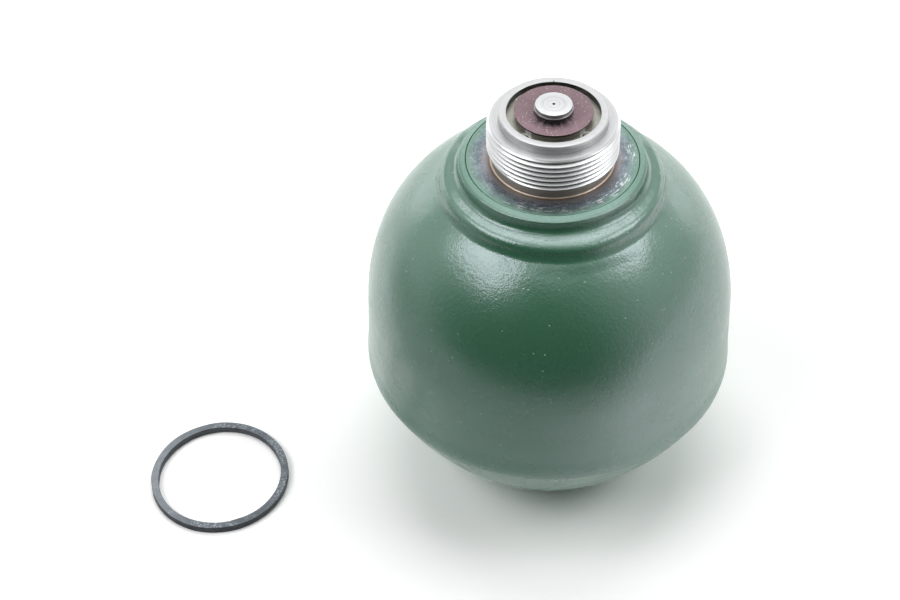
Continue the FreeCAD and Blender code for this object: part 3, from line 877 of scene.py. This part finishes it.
@dataclass
class ThreadedNeck:
    """Turned neck with its real thread, whose grooves run out in the undercut and the chamfer."""

    pitch: float = 1.5
    thread_radius: float = 17.5
    thread_depth: float = 0.84
    crest_width: float = 0.19
    flank_angle: float = 30.0
    thread_length: float = 8.35
    thread_chamfer: float = 0.85
    thread_start_turn: float = 0.4
    undercut_radius: float = 16.2
    undercut_height: float = 3.0
    undercut_bevel: float = 0.7
    undercut_rounding: float = 0.5
    relief_radius: float = 17.7
    relief_depth: float = 0.1
    flange_thickness: float = 5.6
    flange_chamfer: float = 0.25
    spigot_radius: float = 19.0
    pilot_radius: float = 14.4
    pilot_rounding: float = 0.3
    bore_radius: float = 12.35
    bore_rounding: float = 0.12
    port_radius: float = 11.4
    port_flare: float = 1.6
    port_mouth_depth: float = 6.8
    body_hub_drop: float = 1.7
    tint_above: float = 0.1
    tint_inside: float = 0.05
    bore_slack: float = 0.01
    segments: int = 320
    steel: TurnedSteel = field(init=False)
    tinted: HeatTintedSteel = HeatTintedSteel()
    oiled: MottledFinish = SHADED_BORE

    def __post_init__(self) -> None:
        """Read the neck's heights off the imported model."""
        self.bottom, self.top, self.flange_radius = reach("threaded_neck")
        self.face = reach("upper_shell")[1]
        self.groove_bottom = self.face + self.undercut_height
        self.thread_bottom = self.groove_bottom + self.undercut_bevel
        self.thread_top = self.thread_bottom + self.thread_length
        self.shoulder = self.thread_top + self.thread_chamfer
        self.body_rest = reach("damper_body")[0] + self.body_hub_drop
        self.steel = TurnedSteel(
            groove_radius=self.thread_radius - self.thread_depth,
            groove_heights=(self.thread_bottom, self.thread_top), face_height=self.shoulder)

    def _body(self) -> bmesh.types.BMesh:
        """Everything but the threaded wall, from its top edge inwards and round to its bottom edge."""
        flange_back = self.face - self.flange_thickness
        outline = Outline((self.thread_radius - self.thread_chamfer, self.shoulder))
        outline.line((self.pilot_radius, self.shoulder))
        outline.corner((self.pilot_radius, self.top), self.pilot_rounding)
        outline.corner((self.bore_radius, self.top), self.bore_rounding)
        outline.line((self.bore_radius, self.body_rest), (self.port_radius, self.body_rest))
        outline.line((self.port_radius, self.bottom + self.port_mouth_depth))
        outline.line((self.port_radius + self.port_flare, self.bottom), (self.spigot_radius, self.bottom))
        outline.line((self.spigot_radius, flange_back), (self.flange_radius, flange_back))
        outline.corner((self.flange_radius, self.face), self.flange_chamfer)
        outline.line((self.relief_radius, self.face), (self.relief_radius, self.face - self.relief_depth))
        outline.corner((self.undercut_radius, self.face - self.relief_depth), self.undercut_rounding)
        outline.line((self.undercut_radius, self.groove_bottom))
        return outline.turned(self.segments, closed=False)

    def _envelope(self, height: float) -> float:
        """Largest radius that the threaded wall has at a height."""
        rise = (height - self.groove_bottom) / self.undercut_bevel
        fall = (self.shoulder - height) / self.thread_chamfer
        below = self.undercut_radius + rise * (self.thread_radius - self.undercut_radius)
        above = self.thread_radius - self.thread_chamfer + fall * self.thread_chamfer
        return min(below, above, self.thread_radius)

    def _threaded_wall(self) -> bmesh.types.BMesh:
        """Thread swept up its helix for one turn, then trimmed to the undercut's bevel and the chamfer."""
        root = self.thread_radius - self.thread_depth
        flank = self.thread_depth * math.tan(math.radians(self.flank_angle))
        root_width = self.pitch - self.crest_width - 2 * flank
        crest, middle = self.thread_radius, root + self.thread_depth / 2
        root_start = self.crest_width + flank
        shape = (
            (crest, 0.0), (crest, self.crest_width / 2), (crest, self.crest_width),
            (middle, self.crest_width + flank / 2), (root, root_start), (root, root_start + root_width / 2),
            (root, root_start + root_width), (middle, self.crest_width + flank * 1.5 + root_width),
        )
        start = self.groove_bottom - (1.0 + self.thread_start_turn) * self.pitch
        turns = math.ceil((self.shoulder - start) / self.pitch) + 1
        places = [
            (radius, start + self.pitch * turn + rise) for turn in range(turns) for radius, rise in shape]
        outline = Outline(places[0])
        outline.line(*places[1:])
        mesh = outline.mesh
        step = self.pitch * MM / self.segments
        bmesh.ops.spin(
            mesh, geom=mesh.verts[:] + mesh.edges[:], cent=(0, 0, 0), axis=(0, 0, 1),
            dvec=(0, 0, step), angle=FULL_TURN, steps=self.segments, use_merge=False)
        for vert in mesh.verts:
            height = min(max(vert.co.z / MM, self.groove_bottom), self.shoulder)
            flat = from_axis(vert.co)
            radius = min(flat.length / MM, self._envelope(height))
            vert.co = flat.normalized() * (radius * MM) + Vector((0, 0, height * MM))
        return mesh

    def build(self, shop: Workshop) -> bpy.types.Object:
        """Join the threaded wall to the rest, tint the faces round the undercut, and paint shade on the faces
        inside the bore.
        """
        mesh = self._body()
        wall = self._threaded_wall()
        spare = bpy.data.meshes.new("threaded_wall")
        wall.to_mesh(spare)
        wall.free()
        mesh.from_mesh(spare)
        bpy.data.meshes.remove(spare)
        bmesh.ops.remove_doubles(mesh, verts=mesh.verts[:], dist=MERGE_DISTANCE)
        bmesh.ops.recalc_face_normals(mesh, faces=mesh.faces[:])
        tint_radius = self.undercut_radius - self.tint_inside
        for face in mesh.faces:
            middle = face.calc_center_median()
            radius = math.hypot(middle.x, middle.y) / MM
            height = middle.z / MM
            tinted = height < self.groove_bottom + self.tint_above and radius > tint_radius
            # Painted shade: the faces inside the bore take the near-black finish.
            oiled = height < self.top - self.bore_rounding and radius < self.bore_radius + self.bore_slack
            face.material_index = 1 if tinted else 2 if oiled else 0
        finishes = [self.steel, self.tinted, self.oiled]
        return shop.piece("neck_threaded", mesh, finishes, ["threaded_neck"])


@dataclass
class DamperValve:
    """Discs, spacer and rivet that show in the neck's bore, and the hidden lower stack."""

    shaft_hole_radius: float = 2.55
    disc_rounding: float = 0.06
    nick_depth: float = 0.12
    nick_width: float = 1.3
    nick_rarity: float = 0.32
    rim_width: float = 0.5
    spacer_groove: float = 0.28
    groove_slack: float = 0.01
    rivet_radius: float = 2.5
    rivet_tail_radius: float = 3.7
    rivet_tail_height: float = 1.5
    rivet_tail_edge: float = 0.5
    rivet_tail_end: float = 1.85
    rivet_head_thickness: float = 1.05
    rivet_edge_rounding: float = 0.14
    bleed_radius: float = 0.3
    bleed_mouth: float = 0.12
    segments: int = 200
    spacer_rounding: float = 0.08

    def disc(self, node: str, finish: object, shop: Workshop) -> bpy.types.Object:
        """Flat valve disc with broken edges and a few nicks round its rim."""
        low, high, radius = reach(node)
        outline = Outline((self.shaft_hole_radius, low))
        outline.corner((radius, low), self.disc_rounding).corner((radius, high), self.disc_rounding)
        outline.line((self.shaft_hole_radius, high))
        mesh = outline.turned(self.segments)
        for vert in mesh.verts:
            flat = from_axis(vert.co)
            if flat.length / MM < radius - self.rim_width:
                continue
            nick = max(waves(flat, self.nick_width, radius) - self.nick_rarity, 0.0) * self.nick_depth
            vert.co -= flat.normalized() * (nick * MM)
        return shop.piece(node + "_edged", mesh, [finish], [node])

    def spacer(self, node: str, shop: Workshop) -> bpy.types.Object:
        """Stop ring with a fine groove round its middle."""
        low, high, radius = reach(node)
        middle = (low + high) / 2
        half_groove = self.spacer_groove / 2
        floor = radius - self.spacer_groove
        outline = Outline((self.shaft_hole_radius, low))
        outline.corner((radius, low), self.spacer_rounding)
        outline.line((radius, middle - half_groove), (floor, middle - half_groove))
        outline.line((floor, middle + half_groove), (radius, middle + half_groove))
        outline.corner((radius, high), self.spacer_rounding)
        outline.line((self.shaft_hole_radius, high))
        mesh = outline.turned(self.segments)
        # Painted shade: the groove's faces take the near-black finish.
        for face in mesh.faces:
            off_middle = abs(face.calc_center_median().z / MM - middle)
            face.material_index = int(off_middle < half_groove + self.groove_slack)
        return shop.piece(node + "_turned", mesh, [SPACER_STEEL, SHADED_BORE], [node])

    def rivet(self, shop: Workshop) -> bpy.types.Object:
        """Rivet with a turned head, a peened tail and the bleed hole."""
        low, high, radius = reach("damper_rivet")
        head_seat = high - self.rivet_head_thickness
        tail_seat = low + self.rivet_tail_height
        outline = Outline((self.bleed_radius + self.bleed_mouth, high))
        outline.corner((radius, high), self.rivet_edge_rounding)
        outline.line((radius, head_seat), (self.rivet_radius, head_seat), (self.rivet_radius, tail_seat))
        outline.line((self.rivet_tail_radius, tail_seat))
        outline.line((self.rivet_tail_radius, tail_seat - self.rivet_tail_edge))
        outline.line((self.rivet_tail_end, low), (self.bleed_radius, low))
        outline.line((self.bleed_radius, high - self.bleed_mouth))
        mesh = outline.turned(self.segments)
        # Painted shade: the bleed hole's faces take the near-black finish.
        hole = self.bleed_radius + self.bleed_mouth / 2
        for face in mesh.faces:
            middle = face.calc_center_median()
            face.material_index = int(math.hypot(middle.x, middle.y) / MM < hole)
        finishes = [RIVET_STEEL, SHADED_BORE]
        return shop.piece("damper_rivet_turned", mesh, finishes, ["damper_rivet"])

    def build(self, shop: Workshop) -> None:
        """Make what shows and dress what is hidden below."""
        self.disc("top_disc", TemperedDisc(), shop)
        for node in ("second_disc", "third_disc"):
            self.disc(node, SPRING_STEEL, shop)
        for node in ("upper_spacer", "lower_spacer"):
            self.spacer(node, shop)
        self.rivet(shop)
        shop.dress("damper_body", VALVE_BODY)
        for node in ("lower_first_disc", "lower_second_disc", "lower_third_disc"):
            shop.dress(node, SPRING_STEEL)


@dataclass
class GasSide:
    """What the shells hold: membrane, cup, clamp ring, and the filler plug with its seal."""

    def build(self, shop: Workshop) -> None:
        """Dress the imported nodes."""
        shop.dress("diaphragm", MEMBRANE)
        for node in ("diaphragm_cup", "clamp_ring", "filler_plug"):
            shop.dress(node, ZINC)
        shop.dress("filler_seal", COPPER)


@dataclass
class SealRing:
    """Square-section rubber ring, slightly twisted where it lies."""

    rounding: float = 0.22
    twist: float = 7.0
    shrink: float = 0.06
    # Wavelength and seed of the twist and of the wear, and the radius that the twist is read at
    twist_wave: Place = (14.0, 4.4)
    wear_wave: Place = (9.0, 2.9)
    wave_radius: float = 20.0
    segments: int = 220
    wall_steepness: float = 0.80
    # Painted shade: the steep walls are darker and less chalky than the top.
    shaded_wall_colour: Colour = (0.018, 0.023, 0.028)
    worn_shaded_wall_colour: Colour = (0.036, 0.044, 0.052)

    def build(self, shop: Workshop) -> bpy.types.Object:
        """Turn the ring about its own axis, twist its section a little, and lay it in its place."""
        low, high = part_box("seal_ring")
        centre = (low + high) / 2
        section = (high.z - low.z) / MM
        outer = (high.x - low.x) / 2 / MM
        inner = outer - section
        rubber = ChalkyRubber(middle=centre.x / MM)
        shaded_walls = ChalkyRubber("seal_rubber_shaded_walls", self.shaded_wall_colour, self.worn_shaded_wall_colour, chalk_share=0.12,
                             dust_share=0.04, middle=centre.x / MM)
        outline = Outline((inner, section / 2))
        for place in ((inner, section), (outer, section), (outer, 0.0), (inner, 0.0)):
            outline.corner(place, self.rounding)
        mesh = outline.turned(self.segments)
        for vert in mesh.verts:
            flat = from_axis(vert.co)
            outwards = flat.normalized()
            core = outwards * ((outer - section / 2) * MM) + Vector((0, 0, section / 2 * MM))
            turn = waves(outwards * self.wave_radius * MM, *self.twist_wave) * math.radians(self.twist)
            worn = self.shrink * (0.5 + 0.5 * waves(flat, *self.wear_wave))
            away = (vert.co - core) * (1 - worn - abs(turn))
            axis = Vector((-outwards.y, outwards.x, 0))
            vert.co = core + Matrix.Rotation(turn, 3, axis) @ away
        lowest = min(vert.co.z for vert in mesh.verts)
        bmesh.ops.translate(mesh, verts=mesh.verts[:], vec=(centre.x, centre.y, -lowest))
        mesh.normal_update()
        for face in mesh.faces:
            # Steep faces take the painted shade finish.
            face.material_index = int(abs(face.normal.z) < self.wall_steepness)
        return shop.piece("seal_ring_worn", mesh, [rubber, shaded_walls], ["seal_ring"])


@dataclass(frozen=True)
class SoftBox:
    """Lamp that faces the object, placed in degrees and metres. A radiance of 1 makes its face white."""

    name: str
    bearing: float
    elevation: float
    width: float
    height: float
    radiance: float
    distance: float = 2.6
    aim_height: float = 0.06

    def build(self) -> None:
        """Hang the lamp and turn it to the object."""
        light = bpy.data.lights.new(self.name, "AREA")
        light.shape = "RECTANGLE"
        light.size = self.width
        light.size_y = self.height
        light.energy = self.radiance * math.pi * self.width * self.height
        lamp = shown(self.name, light)
        turn, tilt = math.radians(self.bearing), math.radians(self.elevation)
        towards = Vector((math.cos(turn) * math.cos(tilt), math.sin(turn) * math.cos(tilt), math.sin(tilt)))
        lamp.location = towards * self.distance + Vector((0, 0, self.aim_height))
        lamp.rotation_euler = towards.to_track_quat("Z", "Y").to_euler()


@dataclass
class Studio:
    """Pale floor, soft lights and the camera at the photograph's angle."""

    # Name, bearing, elevation, width, height and radiance
    softboxes: tuple[SoftBox, ...] = (
        SoftBox("left_softbox", 203, 50, 1.9, 1.2, 4.0),
        SoftBox("right_softbox", 0, 49, 1.3, 1.2, 3.7),
        SoftBox("left_back_softbox", 113, 61, 1.1, 0.9, 3.5),
        SoftBox("right_back_softbox", 65, 61, 1.1, 0.9, 3.5),
        SoftBox("overhead_softbox", 90, 86, 1.6, 0.9, 2.0),
        SoftBox("front_softbox", 260, 60, 1.3, 0.6, 0.6),
        SoftBox("left_back_panel", 130, 10, 1.7, 0.9, 1.6),
        SoftBox("back_panel", 90, 14, 1.6, 1.0, 2.0),
        SoftBox("right_back_panel", 50, 10, 1.7, 0.9, 1.4),
    )
    floor_half_width: float = 3.0
    floor_front: float = -0.20
    floor_colour: Colour = (0.88, 0.88, 0.88)
    floor_second_colour: Colour = (0.87, 0.87, 0.87)
    floor_seen_colour: Colour = (1.22, 1.22, 1.22)
    mirrored_slant: float = 0.5
    mirrored_reach: Place = (-0.13, -0.03)
    painted_reflection_shades: Place = (0.55, 1.45)
    ambient: float = 0.10
    unlit_side: float = 0.06
    unlit_reach: Place = (-0.85, -0.05)
    lit_heading: tuple[float, float, float] = (0.22, 0.975, 0.0)
    focal_length: float = 72.0
    sensor_width: float = 36.0
    picture: tuple[int, int] = (900, 600)
    neck_pixel: Place = (553.68, 111.44)
    distance: float = 468.24
    elevation: float = 39.043
    roll: float = -1.478

    def floor(self) -> None:
        """Plain pale sheet under the object, which the eye sees as a white background with a shadow, and
        which glossy rays see painted darker in front and brighter than white behind.
        """
        mesh = bmesh.new()
        bmesh.ops.create_grid(mesh, x_segments=1, y_segments=1, size=self.floor_half_width)
        bmesh.ops.translate(mesh, verts=mesh.verts[:], vec=(0, self.floor_front + self.floor_half_width, 0))
        floor = solid("floor", mesh)
        recipe = Recipe("floor_board", self.floor_colour)
        path = recipe.node("ShaderNodeLightPath").outputs
        recipe.lay(self.floor_second_colour, recipe.noise(260.0, detail=1.0))
        # Painted reflection: for glossy rays the floor is darker in front and brighter than white behind.
        back = recipe.sum(recipe.y, recipe.product(recipe.x, self.mirrored_slant))
        recipe.lay(recipe.rise(back, *self.mirrored_reach, *self.painted_reflection_shades), path["Is Glossy Ray"])
        recipe.lay(self.floor_seen_colour, path["Is Camera Ray"])
        floor.data.materials.append(recipe.done(roughness=0.85))

    def world(self) -> None:
        """Pale surroundings for the eye, an even dim light from them, and in gloss a room unlit in front."""
        world = bpy.data.worlds.new("surroundings")
        bpy.context.scene.world = world
        tree = NodeTree(world)
        path = tree.node("ShaderNodeLightPath").outputs
        inputs = {0: tree.node("ShaderNodeTexCoord").outputs["Generated"], 1: self.lit_heading}
        facing = tree.node("ShaderNodeVectorMath", inputs, operation="DOT_PRODUCT").outputs["Value"]
        room = tree.rise(facing, *self.unlit_reach, self.unlit_side)
        inputs = {"Value": path["Is Glossy Ray"], "To Min": self.ambient, "To Max": room}
        mirrored = tree.node("ShaderNodeMapRange", inputs).outputs["Result"]
        background = tree.tree.nodes["Background"]
        tree.feed(background.inputs["Strength"], tree.combine("MAXIMUM", mirrored, path["Is Camera Ray"]))
        tree.feed(background.inputs["Color"], (1.0, 1.0, 1.0))

    def camera(self) -> None:
        """Camera whose view was fitted to the photograph's circles and outline."""
        data = bpy.data.cameras.new("camera")
        data.lens = self.focal_length
        data.sensor_width = self.sensor_width
        data.sensor_fit = "HORIZONTAL"
        camera = shown("camera", data)
        tilt = math.radians(self.elevation)
        aim = Vector((0, 0, reach("threaded_neck")[1] * MM))
        ahead = Vector((0, math.cos(tilt), -math.sin(tilt)))
        right = Vector((1, 0, 0))
        level = Matrix((right, right.cross(ahead), -ahead)).transposed()
        focal = self.focal_length / self.sensor_width * self.picture[0]
        ray = Vector(((self.neck_pixel[0] - self.picture[0] / 2) / focal,
                      (self.picture[1] / 2 - self.neck_pixel[1]) / focal, -1)).normalized()
        shift = ray.rotation_difference(Vector((0, 0, -1))).to_matrix()
        roll = Matrix.Rotation(math.radians(-self.roll), 3, "Z")
        place = aim - ahead * (self.distance * MM)
        camera.matrix_world = Matrix.Translation(place) @ (level @ roll @ shift).to_4x4()
        bpy.context.scene.camera = camera

    def build(self) -> None:
        """Set up everything that isn't the object."""
        self.floor()
        for softbox in self.softboxes:
            softbox.build()
        self.world()
        self.camera()
        bpy.context.scene.view_settings.view_transform = "Standard"
        log.info("studio: floor, soft boxes, surroundings and camera")


def main() -> None:
    """Build every sub-assembly in order."""
    logging.basicConfig(level=logging.INFO, format="%(message)s")
    shop = Workshop()
    PressureVessel().build(shop)
    ThreadedNeck().build(shop)
    DamperValve().build(shop)
    GasSide().build(shop)
    SealRing().build(shop)
    Studio().build()


if __name__ == "__main__":
    main()
